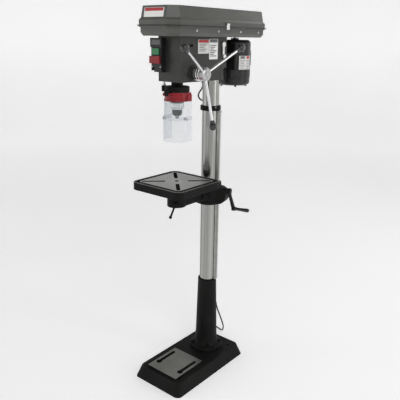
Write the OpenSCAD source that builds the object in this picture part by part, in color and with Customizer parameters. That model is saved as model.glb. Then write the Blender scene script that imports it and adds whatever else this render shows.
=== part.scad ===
// Floor-standing drill press: base, column, rack-lift table, belt-driven head.
// Millimetres, +Z up, front towards -Y, feed handles on +X.
// Origin: centre of the four floor bolts, on the floor.

/* [Base and column] */
// Width of the base at the floor
base_w = 273; // [260:1:300]
// Depth of the base at the floor
base_l = 486; // [470:1:520]
// Height of the base casting
base_h = 55; // [50:1:60]
// Outer diameter of the column tube
column_d = 73; // [73:0.5:74]
// Wall of the column tube
column_wall = 4; // [3:0.5:6]

/* [Table] */
// Side of the square table
table_w = 272; // [250:1:272]
// Height of the table face above the floor
table_top = 937; // [935:1:940]
// Width of the table's diagonal slots
slot_w = 16; // [12:1:18]

/* [Head] */
// Width of the head casting
head_w = 120; // [116:1:124]
// Distance from column axis to spindle axis
throat = 218; // [218:1:219]
// Diameter of the quill
quill_d = 47; // [47:0.5:47.5]
// Quill travel
quill_travel = 85; // [60:1:85]
// Height of the feed shaft above the floor
feed_z = 1380; // [1378:1:1382]

/* [Motor and cover] */
// Diameter of the motor shell
motor_d = 143; // [130:1:145]
// Half width of the belt cover
cover_hw = 109; // [105:1:112]
// Height of the joint between cover pan and lid
seam_z = 1555; // [1550:1:1560]
// Height of the lid's top face
cover_top = 1628; // [1625:1:1640]

/* [Cord] */
// Diameter of the mains cord
cord_d = 7; // [6:0.5:8]

/* [Hidden] */
$fn = 64;
cast_black = [0.13, 0.13, 0.125];
steel = [0.66, 0.67, 0.68];
cover_grey = [0.42, 0.43, 0.4];
head_grey = [0.45, 0.46, 0.45];
plastic_black = [0.06, 0.06, 0.065];

// Plan positions
col_y = 118;
spindle_y = col_y - throat;
feed_y = spindle_y + 33;
motor_y = col_y + 163;
idler_y = col_y - 30;
floor_bolt = [176, 364];
// Running gap between a shaft and its bore, and gap between parts of one body
run = 0.05;
fit = 0.1;
column_r = column_d / 2;
base_y0 = col_y - 358;
base_cy = base_y0 + base_l / 2;
base_taper = 19;
pad_z = base_h + 6;
support_top = 420;

// Lift drive, in a frame turned so that +X points from the column axis to the crank
rack_az = 15;
rack_m = 3;
rack_pitch = PI * rack_m;
rack_back = column_r + 0.3;
rack_pitch_r = rack_back + 5 + 1.25 * rack_m;
pinion_z = 12;
gear_x = rack_pitch_r + pinion_z * rack_m / 2;
gear_z = 832;
wheel_y = -17;
worm_z = gear_z + 32;
collar_z = 1215;
bracket_z = [797, 892];

// Tilt axis of the table arm, along Y
tilt_z = 850;
table_y = col_y - 220;
table_z = table_top - 32;

// Head
head_z = [1347, 1520];
head_front = col_y - 262;
head_back = col_y + 25;
quill_r = quill_d / 2;
quill_z = [1306, 1490];
feed_m = 1.8;
feed_teeth = 15;
feed_pitch_r = feed_m * feed_teeth / 2;
spindle_r = 9;
rod_xy = [-50, spindle_y - 22];
hinge_y = spindle_y - 58;
hinge_z = 1299;

// Pulleys: four steps each, bottom to top
pulley_z = 1532;
step_h = 16;
spindle_steps = [60, 50, 40, 30];
idler_steps = [30, 40, 50, 60];
motor_steps = [60, 50, 40, 30];

// Rounded rectangle about the origin
module rounded_rect(w, l, r) {
    union() {
        square([w - 2 * r, l], center = true);
        square([w, l - 2 * r], center = true);
        for (x = [-1, 1], y = [-1, 1])
            translate([x * (w / 2 - r), y * (l / 2 - r)]) circle(r);
    }
}

// Cylinder along +X or +Y from the origin
module along_x(r, h) { rotate([0, 90, 0]) cylinder(r = r, h = h); }
module along_y(r, h) { rotate([-90, 0, 0]) cylinder(r = r, h = h); }

// Hex head with its shank hanging below
module hex_bolt(af, head_h, shank_r, shank_l) {
    cylinder(r = af / sqrt(3), h = head_h, $fn = 6);
    translate([0, 0, -shank_l]) cylinder(r = shank_r, h = shank_l);
}

module at_column() { translate([0, col_y, 0]) children(); }
module at_lift() { translate([0, col_y, 0]) rotate([0, 0, rack_az]) children(); }
module at_spindle() { translate([0, spindle_y, 0]) children(); }
module tube(ro, ri, h) {
    difference() {
        cylinder(r = ro, h = h);
        translate([0, 0, -1]) cylinder(r = ri, h = h + 2);
    }
}

// Spur gear outline: involute flanks, root and tip arcs left straight
function inv_pt(rb, t) = rb * [cos(t) + t * PI / 180 * sin(t), sin(t) - t * PI / 180 * cos(t)];
function turn(p, a) = [p[0] * cos(a) - p[1] * sin(a), p[0] * sin(a) + p[1] * cos(a)];
function inv_t(rb, r) = sqrt(max(0, r * r / (rb * rb) - 1)) * 180 / PI;
// Angle swept by the involute between the base circle and radius r
function inv_a(rb, r) = inv_t(rb, r) - atan(inv_t(rb, r) * PI / 180);
module gear_2d(m, z, slack) {
    rp = m * z / 2;
    rb = rp * cos(20);
    rt = rp + 0.9 * m;
    rr = rp - 1.2 * m;
    half = 90 / z - slack / rp * 90 / PI + inv_a(rb, rp);
    flank = [for (k = [0:3]) max(rb, rr) + (rt - max(rb, rr)) * k / 3];
    pts = [for (i = [0:z - 1]) each concat(
        [turn([rr, 0], i * 360 / z - half)],
        [for (r = flank) turn([r, 0], i * 360 / z - half + inv_a(rb, r))],
        [for (k = [3:-1:0]) turn([flank[k], 0], i * 360 / z + half - inv_a(rb, flank[k]))],
        [turn([rr, 0], i * 360 / z + half)])];
    polygon(pts);
}

// Slab of the base outline between two heights, tapering to the top
module base_block(inset, z0, z1) {
    hull() {
        translate([0, base_cy, z0])
            linear_extrude(0.1) rounded_rect(base_w - 2 * inset, base_l - 2 * inset, 24);
        translate([0, base_cy, z1 - 0.1]) linear_extrude(0.1)
            rounded_rect(base_w - 2 * (inset + base_taper), base_l - 2 * (inset + base_taper), 20);
    }
}

module floor_bolts(r, z0, z1) {
    for (x = [-1, 1], y = [-1, 1])
        translate([x * floor_bolt[0] / 2, y * floor_bolt[1] / 2, z0]) cylinder(r = r, h = z1 - z0);
}

module base() {
    pad_y0 = col_y - 320;
    slot_y0 = col_y - 280;
    slot_l = 122;
    color(cast_black) difference() {
        union() {
            difference() {
                base_block(0, 0, base_h);
                base_block(11, -1, base_h - 12);
            }
            translate([-86, pad_y0, base_h - 13]) cube([172, 187, 19]);
            floor_bolts(17, 0, base_h - 10);
            at_column() translate([0, 0, 18]) cylinder(r = 80, h = base_h - 18);
            for (x = [-1, 1]) translate([x * 36 - 4, base_y0 + 16, 8]) cube([8, base_l - 32, 40]);
            for (y = [-120, 10]) translate([-118, y, 8]) cube([236, 8, 40]);
        }
        floor_bolts(6.5, -1, base_h + 1);
        for (x = [-65, 65]) translate([x, 0, base_h - 30]) {
            translate([-8, slot_y0 + 8, 0]) cube([16, slot_l - 16, 60]);
            translate([0, slot_y0 + slot_l - 8, 0]) cylinder(r = 8, h = 60);
            translate([0, slot_y0 + 13, 0]) cylinder(r = 13, h = 60);
        }
        support_bolt_places() translate([0, 0, 25]) cylinder(r = 5 + fit, h = 40);
    }
}

module support_bolt_places() {
    for (a = [45:90:315]) at_column() rotate([0, 0, a]) translate([67, 0, 0]) children();
}

module column_support() {
    color(cast_black) difference() {
        at_column() rotate_extrude() polygon([[column_r + fit, base_h], [78, base_h], [78, 69], [75, 72],
            [60, 75], [54, 98], [51, 140], [43.5, support_top - 8], [43.5, support_top],
            [41.2, support_top], [41.2, support_top - 8], [column_r + fit, support_top - 8]]);
        support_bolt_places() translate([0, 0, 50]) cylinder(r = 5 + fit, h = 40);
        support_bolt_places() translate([0, 0, 72]) cylinder(r = 12, h = 30);
    }
}

module support_bolts() {
    color(steel) support_bolt_places() translate([0, 0, 72]) hex_bolt(17, 7, 5, 42);
}

module column() {
    color(steel) at_column() translate([0, 0, base_h]) tube(column_r, column_r - column_wall, 1425);
}

module rack_collar() {
    color(plastic_black) difference() {
        at_column() rotate_extrude() polygon([[column_r + fit, collar_z + 8], [41.2, collar_z + 8],
            [41.2, collar_z], [43, collar_z], [44.6, collar_z + 2], [44.6, collar_z + 19.5],
            [43, collar_z + 21], [column_r + fit, collar_z + 21]]);
        collar_screw_place() translate([30, 0, 0]) along_x(3.1, 30);
    }
}

module collar_screw_place() {
    at_column() translate([0, 0, collar_z + 14.5]) rotate([0, 0, -20]) children();
}

module head_screw_places() {
    for (z = [head_z[0] + 24, head_z[0] + 40])
        at_column() translate([0, 0, z]) rotate([0, 0, 20]) children();
}

module set_screws() {
    color(steel) {
        collar_screw_place() translate([column_r, 0, 0]) along_x(3, 6);
        head_screw_places() translate([column_r, 0, 0]) along_x(4.5, 12);
    }
}

// Outline of the rack in the plane of column radius and height
function rack_gap(k) = let (c = gear_z + k * rack_pitch, t = tan(20),
    tip = rack_pitch / 4 + rack_m * t + 0.1, root = rack_pitch / 4 - 1.25 * rack_m * t + 0.1)
    [[rack_pitch_r + rack_m, c - tip], [rack_back + 5, c - root],
     [rack_back + 5, c + root], [rack_pitch_r + rack_m, c + tip]];

module rack() {
    z0 = support_top + 1.5;
    z1 = collar_z - 1.5;
    k0 = ceil((z0 + 8 - gear_z) / rack_pitch);
    k1 = floor((z1 - 8 - gear_z) / rack_pitch);
    tip = rack_pitch_r + rack_m;
    color(steel) at_lift() {
        rotate([90, 0, 0]) linear_extrude(20, center = true) polygon(concat(
            [[rack_back, z0], [tip, z0]], [for (k = [k0:k1]) each rack_gap(k)],
            [[tip, z1], [rack_back, z1]]));
        translate([rack_back, -6.5, z0 - 6]) cube([3.6, 13, z1 - z0 + 12]);
    }
}

module gear_place() { at_lift() translate([gear_x, 0, gear_z]) children(); }

module column_bracket() {
    zc = gear_z + 7;
    color(cast_black) difference() {
        union() {
            at_column() translate([0, 0, bracket_z[0]])
                cylinder(r = 56, h = bracket_z[1] - bracket_z[0]);
            at_lift() translate([40, -30, zc - 39]) cube([14, 50, 78]);
            at_lift() translate([54, -30, zc]) along_y(39, 50);
            at_lift() translate([70, wheel_y, worm_z]) along_x(13, 28);
            clamp_place() translate([45, -13, 812 - gear_z]) cube([37, 26, 66]);
            at_column() translate([0, -75, tilt_z]) along_y(40, 40);
        }
        at_column() translate([0, 0, 790]) cylinder(r = column_r + run, h = 110);
        at_lift() translate([30, -10.5, 790]) cube([20.5, 21, 110]);
        at_lift() translate([34, -24, zc - 35]) cube([20, 38, 70]);
        at_lift() translate([54, -24, zc]) along_y(35, 38);
        at_lift() translate([45, wheel_y, worm_z]) along_x(9.8, 41);
        at_lift() translate([60, wheel_y, worm_z]) along_x(7 + run, 50);
        gear_place() translate([0, -31, 0]) along_y(6 + fit, 52);
        clamp_place() translate([30, -1.5, -60]) cube([60, 3, 120]);
        clamp_place() translate([70, -14, 0]) along_y(5 + run, 28);
        at_column() translate([0, -76, tilt_z]) along_y(9 + fit, 26);
    }
}

module lift_gear() {
    color(steel) gear_place() difference() {
        rotate([90, 0, 0]) {
            translate([0, 0, -10]) linear_extrude(20) gear_2d(rack_m, pinion_z, 0.25);
            translate([0, 0, -wheel_y - 5]) linear_extrude(10) gear_2d(1.7, 24, 0.2);
            translate([0, 0, 9]) cylinder(r = 13, h = 4);
        }
        translate([0, -30, 0]) along_y(6 + run, 60);
    }
}

module gear_pin() {
    color(steel) gear_place() translate([0, -29.5, 0]) along_y(6, 49);
}

module worm_place() { at_lift() translate([0, wheel_y, worm_z]) children(); }

module worm_shaft() {
    color(steel) worm_place() {
        translate([50, 0, 0]) along_x(7, 60.8);
        for (x = [52:5.3:80]) translate([x, 0, 0]) rotate([0, 90, 0]) {
            cylinder(r1 = 7, r2 = 9.4, h = 1.2);
            translate([0, 0, 1.2]) cylinder(r = 9.4, h = 1.2);
            translate([0, 0, 2.4]) cylinder(r1 = 9.4, r2 = 7, h = 1.2);
        }
    }
}

// Dished arm in the plane of the crank axis, ending at the grip
crank_l = 77;
module crank_arm() {
    color(cast_black) worm_place() difference() {
        union() {
            translate([98.5, 0, 0]) along_x(14, 15);
            rotate([90, 0, 0]) linear_extrude(16, center = true) polygon([[101, 0], [113, 0], [115, -20],
                [130, -crank_l + 14], [135, -crank_l - 6], [125, -crank_l - 8], [119, -crank_l + 12]]);
            translate([122, 0, -crank_l]) along_x(10, 13);
        }
        translate([89, 0, 0]) along_x(7 + fit, 22);
        translate([119, 0, -crank_l]) along_x(3.5 + fit, 30);
    }
    color(steel) worm_place() translate([123, 0, -crank_l]) along_x(3.5, 70);
}

module crank_grip() {
    color(plastic_black) worm_place() translate([135.6, 0, -crank_l]) rotate([0, 90, 0])
        rotate_extrude() polygon([[3.5 + run, 0], [8, 0], [8.6, 3], [7, 10], [7.6, 35], [9, 56],
            [8.4, 63], [5, 67], [0, 67], [0, 60], [3.5 + run, 60]]);
}

module clamp_place() {
    at_column() translate([0, 0, gear_z]) rotate([0, 0, rack_az + 190]) children();
}

module column_clamp_lever() {
    color(steel) clamp_place() {
        translate([70, -12, 0]) along_y(5, 30);
        translate([70, 13.3, 0]) along_y(9, 12);
        translate([70, 19, 0]) rotate([0, 80, 0]) cylinder(r = 4.5, h = 62);
    }
    color(plastic_black) clamp_place() translate([70, 19, 0]) rotate([0, 80, 0])
        translate([0, 0, 66]) sphere(9);
}

module table_arm() {
    color(cast_black) difference() {
        union() {
            translate([0, col_y - 87.5, tilt_z]) along_y(38, 12.2);
            for (x = [-30, 20]) translate([x, col_y - 195, 828]) cube([10, 109, 46]);
            translate([-30, col_y - 195, 866]) cube([60, 109, 8]);
            translate([0, table_y, 829]) cylinder(r = 40, h = table_z - 0.3 - 829);
            at_lock() translate([0, -46, 0]) along_y(11, 20);
        }
        translate([0, table_y, 820]) cylinder(r = 14 + run, h = 100);
        at_lock() translate([0, -50, 0]) along_y(5 + run, 50);
        translate([0, col_y - 90, tilt_z]) along_y(9 + run, 20);
    }
}

module tilt_bolt() {
    color(steel) translate([0, col_y - 87.8, tilt_z]) rotate([90, 0, 0]) hex_bolt(24, 9, 9, 36);
}

module at_lock() { translate([0, table_y, 845]) rotate([0, 0, 35]) children(); }

module table_lock_lever() {
    color(steel) at_lock() {
        translate([0, -60, 0]) along_y(5, 45);
        translate([0, -58, 0]) along_y(8, 11.7);
        translate([0, -53, 0]) rotate([0, 200, 0]) cylinder(r = 4.2, h = 54);
    }
    color(plastic_black) at_lock() translate([0, -53, 0]) rotate([0, 200, 0])
        translate([0, 0, 56]) sphere(7);
}

module table() {
    inset = 26;
    color(cast_black) translate([0, table_y, 0]) difference() {
        union() {
            translate([0, 0, table_z + 18]) linear_extrude(14) rounded_rect(table_w, table_w, 30);
            translate([0, 0, table_z]) linear_extrude(18) difference() {
                rounded_rect(table_w, table_w, 30);
                rounded_rect(table_w - 20, table_w - 20, 22);
            }
            translate([0, 0, table_z]) cylinder(r = 40, h = 20);
            translate([0, 0, 831]) cylinder(r = 14, h = table_z - 830);
            for (a = [0, 90]) rotate([0, 0, a]) translate([-table_w / 2 + 6, -4, table_z + 2])
                cube([table_w - 12, 8, 18]);
        }
        translate([0, 0, 830]) cylinder(r = 9, h = 120);
        translate([0, 0, table_top - 4]) linear_extrude(5) difference() {
            rounded_rect(table_w - inset, table_w - inset, 20);
            rounded_rect(table_w - inset - 20, table_w - inset - 20, 14);
        }
        for (a = [45:90:315]) rotate([0, 0, a]) {
            translate([55, -slot_w / 2, table_z + 10]) cube([84, slot_w, 30]);
            for (x = [55, 139]) translate([x, 0, table_z + 10]) cylinder(r = slot_w / 2, h = 30);
        }
    }
}

module at_feed() { translate([0, feed_y, feed_z]) children(); }

module head_casting() {
    hw = head_w / 2;
    z0 = head_z[0];
    h = head_z[1] - head_z[0];
    color(head_grey) difference() {
        union() {
            translate([-hw, head_front, z0]) cube([head_w, throat + 24, h]);
            translate([-hw, col_y - 30, z0 + 48]) cube([head_w, 55, h - 48]);
            at_column() translate([0, 0, z0]) cylinder(r = 54, h = h);
            translate([-52, col_y + 8, z0]) cylinder(r = 13, h = 53);
            at_feed() translate([hw - 10, 0, 0]) along_x(33, 16);
            at_feed() translate([-hw - 3, 0, 0]) along_x(33, 13);
        }
        at_column() translate([0, 0, z0 - 1]) cylinder(r = column_r + fit, h = 136);
        at_spindle() translate([0, 0, z0 - 1]) cylinder(r = quill_r + run, h = 151);
        at_spindle() translate([0, 0, z0 + 149]) cylinder(r = 22, h = 30);
        at_feed() translate([-70, 0, 0]) along_x(spindle_r + run, 140);
        at_feed() translate([-13, 0, 0]) along_x(16.5, 26);
        translate([-48, col_y - 160, z0 - 1]) cube([96, 98, 156]);
        translate([hw - 8, col_y - 229, 1480]) cube([10, 36, 12]);
        translate([rod_xy[0], rod_xy[1], z0 - 1]) cylinder(r = 4.3, h = 115);
        head_screw_places() translate([30, 0, 0]) along_x(4.6, 40);
        for (x = [-46, 46]) translate([x, col_y - 52, 1450]) along_y(8 + run, 110);
        translate([hw - 14, col_y - 5, 1490]) along_x(6 + run, 16);
        translate([30, idler_y, 1487]) cylinder(r = 8 + run, h = 40);
    }
}

module spring_cap() {
    color(plastic_black) at_feed() difference() {
        translate([-93, 0, 0]) along_x(32, 30);
        translate([-89, 0, 0]) along_x(28, 30);
    }
}

module return_spring() {
    color(steel) at_feed() translate([-86, 0, 0]) rotate([0, 90, 0]) tube(25, 14, 18);
}

// Gash between two quill rack teeth, from the pitch line at the rear of the quill
module quill_gash(k) {
    p = PI * feed_m;
    t = tan(20);
    c = feed_z + k * p;
    y = 33 - feed_pitch_r;
    tip = p / 4 + 1.4 * feed_m * t + 0.1;
    root = p / 4 - 1.25 * feed_m * t + 0.1;
    at_spindle() rotate([90, 0, 90]) linear_extrude(60, center = true)
        polygon([[y - 1.25 * feed_m, c - root], [y - 1.25 * feed_m, c + root],
            [y + 1.4 * feed_m, c + tip], [y + 1.4 * feed_m, c - tip]]);
}

module quill() {
    h = quill_z[1] - quill_z[0];
    color(steel) difference() {
        at_spindle() translate([0, 0, quill_z[0]]) cylinder(r = quill_r, h = h);
        at_spindle() translate([0, 0, quill_z[0] - 1]) cylinder(r = 12, h = h + 2);
        for (z = [quill_z[0] - 1, quill_z[1] - 16])
            at_spindle() translate([0, 0, z]) cylinder(r = 16, h = 17);
        at_spindle() translate([-30, 33 - feed_pitch_r + feed_m, 1364]) cube([60, 20, 122]);
        for (k = [-2:18]) quill_gash(k);
    }
}

module quill_bearings() {
    color(steel) at_spindle() for (z = [quill_z[0] + 0.5, quill_z[1] - 15.5])
        translate([0, 0, z]) tube(16 - fit, spindle_r + run, 15);
}

module spindle() {
    color(steel) at_spindle() {
        translate([0, 0, 1295]) cylinder(r = spindle_r, h = 303);
        translate([0, 0, 1256]) cylinder(r1 = 7.5, r2 = spindle_r, h = 39);
        translate([0, 0, 1293]) cylinder(r = 12, h = 12.5);
    }
}

module quill_collar() {
    z = 1307;
    color(plastic_black) difference() {
        union() {
            at_spindle() translate([0, 0, z]) rotate_extrude() polygon([[quill_r + fit, 0], [50, 0],
                [50, 20], [47, 23], [quill_r + fit, 23]]);
            translate([rod_xy[0], rod_xy[1], z]) cylinder(r = 11, h = 23);
            translate([-11.5, hinge_y - 6.5, hinge_z]) cube([23, 13, 19]);
            translate([-11.5, hinge_y - 6.5, z]) cube([23, 22, 11]);
            translate([-11.5, hinge_y, hinge_z]) along_x(6.5, 23);
        }
        translate([rod_xy[0], rod_xy[1], z - 1]) cylinder(r = 4 + run, h = 30);
        translate([-1.25, spindle_y + 20, z - 1]) cube([2.5, 40, 30]);
    }
    color(steel) translate([-21, hinge_y, hinge_z]) along_x(2.5, 42);
}

module guide_rod() {
    color(steel) translate([rod_xy[0], rod_xy[1], 0]) {
        translate([0, 0, 1308]) cylinder(r = 4, h = 144);
        translate([0, 0, 1330]) difference() {
            cylinder(r = 13 / sqrt(3), h = 6, $fn = 6);
            translate([0, 0, -1]) cylinder(r = 3.9, h = 8);
        }
    }
}

module feed_shaft() {
    color(steel) at_feed() {
        translate([-86, 0, 0]) along_x(spindle_r, 212);
        translate([66.4, 0, 0]) along_x(12, 59.6);
        translate([-12, 0, 0]) rotate([90, 0, 90]) linear_extrude(24)
            rotate(180) gear_2d(feed_m, feed_teeth, 0.15);
    }
}

// Directions of the three feed rods in the plane across the feed shaft
module rod_places() {
    for (a = [150, 30, 270]) at_feed() translate([115, 0, 0]) rotate([a, 0, 0]) rotate([0, 0, -13])
        children();
}

module feed_hub() {
    color(steel) difference() {
        at_feed() translate([104.4, 0, 0]) rotate([0, 90, 0]) rotate_extrude() polygon([[12 + fit, 0],
            [24.5, 0], [26, 1.5], [26, 20], [21, 24.5], [12 + fit, 24.5]]);
        rod_places() along_y(5.5 + fit, 40);
    }
    color(steel) at_feed() translate([126.1, 0, 0]) along_x(10, 3.5);
}

module feed_rods() {
    color(steel) rod_places() translate([0, 14, 0]) along_y(5.5, 182);
}

module feed_knobs() {
    color(plastic_black) rod_places() translate([0, 180, 0]) rotate([-90, 0, 0]) rotate_extrude() polygon(
        concat([[5.5 + fit, 0], [9, 0], [9.6, 3], [11, 9]],
            [for (a = [-50:10:90]) [16 * cos(a), 24 + 16 * sin(a)]],
            [[0, 17], [5.5 + fit, 17]]));
}

module depth_stop_ring() {
    color([0.8, 0.8, 0.8]) at_feed() rotate([0, 90, 0]) translate([0, 0, 72]) rotate_extrude()
        polygon([[12 + run, 0], [25, 0], [27, 2], [27, 17], [25.6, 18], [25.6, 20], [27, 21], [27, 29],
            [25.5, 30.5], [12 + run, 30.5]]);
}

module chuck_body() {
    color(steel) at_spindle() difference() {
        union() {
            translate([0, 0, 1264]) rotate_extrude()
                polygon([[0, 0], [27, 0], [27, 22], [23, 27], [0, 27]]);
            translate([0, 0, 1213]) rotate_extrude()
                polygon([[0, 0], [17, 0], [20.6, 8], [20.6, 52], [0, 52]]);
        }
        translate([0, 0, 1255]) cylinder(r1 = 7.5 + fit, r2 = spindle_r + fit, h = 40);
        translate([0, 0, 1212]) cylinder(r = 9.6, h = 36);
        for (a = [30:120:270]) rotate([0, 0, a]) translate([12, 0, 1229]) along_x(3.5, 12);
    }
}

module chuck_sleeve() {
    color(steel) at_spindle() difference() {
        union() {
            translate([0, 0, 1244]) cylinder(r = 28, h = 19.7);
            translate([0, 0, 1237]) cylinder(r1 = 24.5, r2 = 26, h = 7);
        }
        translate([0, 0, 1236]) cylinder(r = 20.6 + run, h = 30);
        for (a = [0:20:340]) rotate([0, 0, a]) translate([26, 0, 1240]) cube([6, 3.4, 14], center = true);
    }
}

module chuck_jaws() {
    color(steel) at_spindle() difference() {
        union() {
            translate([0, 0, 1208]) cylinder(r = 9.2, h = 32);
            translate([0, 0, 1199]) cylinder(r1 = 5.5, r2 = 9.2, h = 9);
        }
        for (a = [0:120:240]) rotate([0, 0, a]) translate([0, -0.9, 1190]) cube([20, 1.8, 60]);
        translate([0, 0, 1190]) cylinder(r = 1.2, h = 60);
    }
}

// U-shaped outline round the chuck, open at the rear
module guard_2d(ro, ri) {
    difference() {
        union() {
            circle(ro);
            translate([-ro, 0]) square([2 * ro, 28]);
        }
        circle(ri);
        translate([-ri, 0]) square([2 * ri, 60]);
    }
}

module guard_ring() {
    color([0.6, 0.1, 0.12]) difference() {
        union() {
            at_spindle() translate([0, 0, 1272]) linear_extrude(34.5) guard_2d(51, 46);
            at_spindle() translate([0, 0, 1272]) linear_extrude(5) guard_2d(54, 46);
            at_spindle() translate([48, 2, 1277]) cube([6, 26, 22]);
            for (x = [-19.5, 12.2]) translate([x, hinge_y, 0]) {
                translate([0, 0, hinge_z]) along_x(6.5, 7.3);
                translate([0, 0, hinge_z - 6.5]) cube([7.3, 14, 13]);
            }
        }
        translate([-22, hinge_y, hinge_z]) along_x(2.5 + run, 44);
    }
}

module shield_upper() {
    color([0.8, 0.85, 0.88, 0.4]) difference() {
        at_spindle() translate([0, 0, 1196]) linear_extrude(76) guard_2d(54, 51.6);
        shield_screw_places() translate([45, 0, 0]) along_x(3 + fit, 20);
    }
}

module shield_screw_places() {
    for (a = [-10, -120]) at_spindle() translate([0, 0, 1204]) rotate([0, 0, a]) children();
}

module shield_lower() {
    color([0.8, 0.85, 0.88, 0.4]) difference() {
        at_spindle() translate([0, 0, 1110]) linear_extrude(102) guard_2d(57, 54.4);
        shield_screw_places() translate([45, -3.4, -64]) cube([20, 6.8, 68]);
    }
}

module shield_screws() {
    color(steel) shield_screw_places() {
        translate([49, 0, 0]) along_x(3, 9.5);
        translate([57.5, 0, 0]) along_x(5.5, 3.5);
        translate([48, 0, 0]) along_x(5, 3);
    }
}

module drive_sleeve() {
    color(steel) at_spindle() translate([0, 0, 1498]) tube(14, spindle_r + run, 100);
}

module drive_bearings() {
    color(steel) at_spindle() for (z = [1497, 1508.5]) translate([0, 0, z])
        tube(22 - fit, 14 + run, 11);
}

// Cone pulley with one V groove per step
module step_pulley(steps, bore) {
    color([0.7, 0.7, 0.7]) translate([0, 0, pulley_z]) rotate_extrude() polygon(concat([[bore, 0]],
        [for (i = [0:len(steps) - 1]) let (r = steps[i], z = i * step_h) each [[r, z], [r, z + 1.5],
            [r - 8, z + 4], [r - 8, z + 12], [r, z + 14.5], [r, z + step_h]]],
        [[bore, len(steps) * step_h]]));
}

// Outline of a loop round two circles on the Y axis: an arc on each, straight between
function arc(y, r, a, sweep) = [for (k = [0:24]) let (t = a + k * sweep / 24)
    [r * cos(t), y + r * sin(t)]];
module belt_2d(y1, y2, r1, r2) {
    a = asin((r1 - r2) / (y2 - y1));
    polygon(concat(arc(y1, r1, 180 - a, 180 + 2 * a), arc(y2, r2, a, 180 - 2 * a)));
}

module belt(y1, y2, r1, r2, level) {
    color(plastic_black) translate([0, 0, pulley_z + level * step_h + 4.4]) linear_extrude(7.2)
        difference() {
            belt_2d(y1, y2, r1 - 0.5, r2 - 0.5);
            belt_2d(y1, y2, r1 - 7.5, r2 - 7.5);
        }
}

module spindle_pulley() { at_spindle() step_pulley(spindle_steps, 14 + fit); }
module idler_pulley() { translate([0, idler_y, 0]) step_pulley(idler_steps, 8 + run); }
module motor_pulley() { translate([0, motor_y, 0]) step_pulley(motor_steps, 8 + fit); }
module front_belt() { belt(spindle_y, idler_y, spindle_steps[1], idler_steps[1], 1); }
module rear_belt() { belt(idler_y, motor_y, idler_steps[3], motor_steps[3], 3); }

module idler_arm() {
    color(steel) {
        translate([30, idler_y, 1489]) cylinder(r = 8, h = 40);
        translate([0, idler_y, 1524]) cylinder(r = 8, h = 76);
        translate([0, idler_y - 9, 1523.5]) cube([30, 18, 7]);
        for (x = [0, 30]) translate([x, idler_y, 1523.5]) cylinder(r = 11, h = 7);
    }
}

module motor() {
    r = motor_d / 2;
    color(head_grey) difference() {
        union() {
            translate([0, motor_y, 1315]) rotate_extrude() polygon([[0, 0], [r - 14, 0], [r - 5, 4],
                [r, 12], [r, 183], [r - 5, 191], [r - 14, 195], [18, 195], [18, 202], [0, 202]]);
            translate([-45, motor_y - r - 1.2, 1385]) cube([90, 24, 110]);
            for (a = [45:90:315]) translate([0, motor_y, 1309]) rotate([0, 0, a])
                translate([r - 16, 0, 0]) cylinder(r = 4.5, h = 12);
        }
        translate([0, motor_y, 1315]) rotate_extrude() polygon([[0, 10], [62, 10], [62, 36], [40, 36],
            [40, 152], [62, 152], [62, 184], [0, 184]]);
        translate([0, motor_y, 1319]) cylinder(r = 8 + run, h = 210);
    }
}

module motor_shaft() {
    color(steel) translate([0, motor_y, 1320]) {
        cylinder(r = 8, h = 280);
        translate([0, 0, 33]) cylinder(r = 39.4, h = 112);
    }
}

module motor_mount() {
    y = motor_y - motor_d / 2 - 1.2;
    color(cast_black) translate([-60, y - 8, 1385]) cube([120, 8, 110]);
    color(steel) for (x = [-46, 46]) translate([x, col_y - 30, 1450]) along_y(8, y - col_y + 26);
}

module tension_lever() {
    color(steel) translate([0, col_y - 5, 1490]) {
        translate([47, 0, 0]) along_x(6, 20);
        translate([60.4, 0, 0]) along_x(11, 9);
        translate([63, -6, -46]) cube([5, 12, 46]);
        translate([60.6, 0, -48]) along_x(9, 14);
    }
}

// Outline of the belt cover, with cut corners
function cover_pts(i) = let (w = cover_hw - i, a = col_y - 358 + i, b = col_y + 273 - i, c = 40 - 0.586 * i)
    [[-w + c, a], [w - c, a], [w, a + c], [w, b - c], [w - c, b], [-w + c, b], [-w, b - c], [-w, a + c]];
module cover_slab(i, z) { translate([0, 0, z]) linear_extrude(0.1) polygon(cover_pts(i)); }
module cover_block(i0, z0, i1, z1) {
    hull() {
        cover_slab(i0, z0);
        cover_slab(i1, z1 - 0.1);
    }
}

hinge_x = -cover_hw - 5.5;
hinge_ys = [col_y - 200, col_y + 120];
module knuckle(y, l, ro, ri) {
    translate([hinge_x, y, seam_z]) difference() {
        along_y(ro, l);
        translate([0, -1, 0]) along_y(ri, l + 2);
    }
}

module cover_pan() {
    color(cover_grey) difference() {
        union() {
            difference() {
                union() {
                    cover_block(16, head_z[1], 6, 1532);
                    translate([0, 0, 1532]) linear_extrude(seam_z - 1532 - 0.2) polygon(cover_pts(6));
                    translate([0, 0, seam_z - 3.2]) linear_extrude(3) polygon(cover_pts(0));
                }
                cover_block(18, head_z[1] + 2, 8, 1533);
                translate([0, 0, 1532.8]) linear_extrude(30) polygon(cover_pts(8));
            }
            for (y = hinge_ys, d = [-22.4, 8.4]) {
                knuckle(y + d, 14, 4.5, 1);
                translate([hinge_x, y + d, seam_z - 3.2]) cube([6.5, 14, 3]);
            }
        }
        for (y = hinge_ys) translate([hinge_x, y - 30, seam_z]) along_y(2, 60);
        at_spindle() translate([0, 0, 1510]) cylinder(r = 24, h = 20);
        translate([30, idler_y, 1510]) cylinder(r = 13, h = 20);
        for (d = [-17, 2]) translate([0, motor_y + d, 1510]) cylinder(r = 21, h = 20);
        translate([-21, motor_y - 17, 1510]) cube([42, 19, 20]);
    }
}

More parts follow.
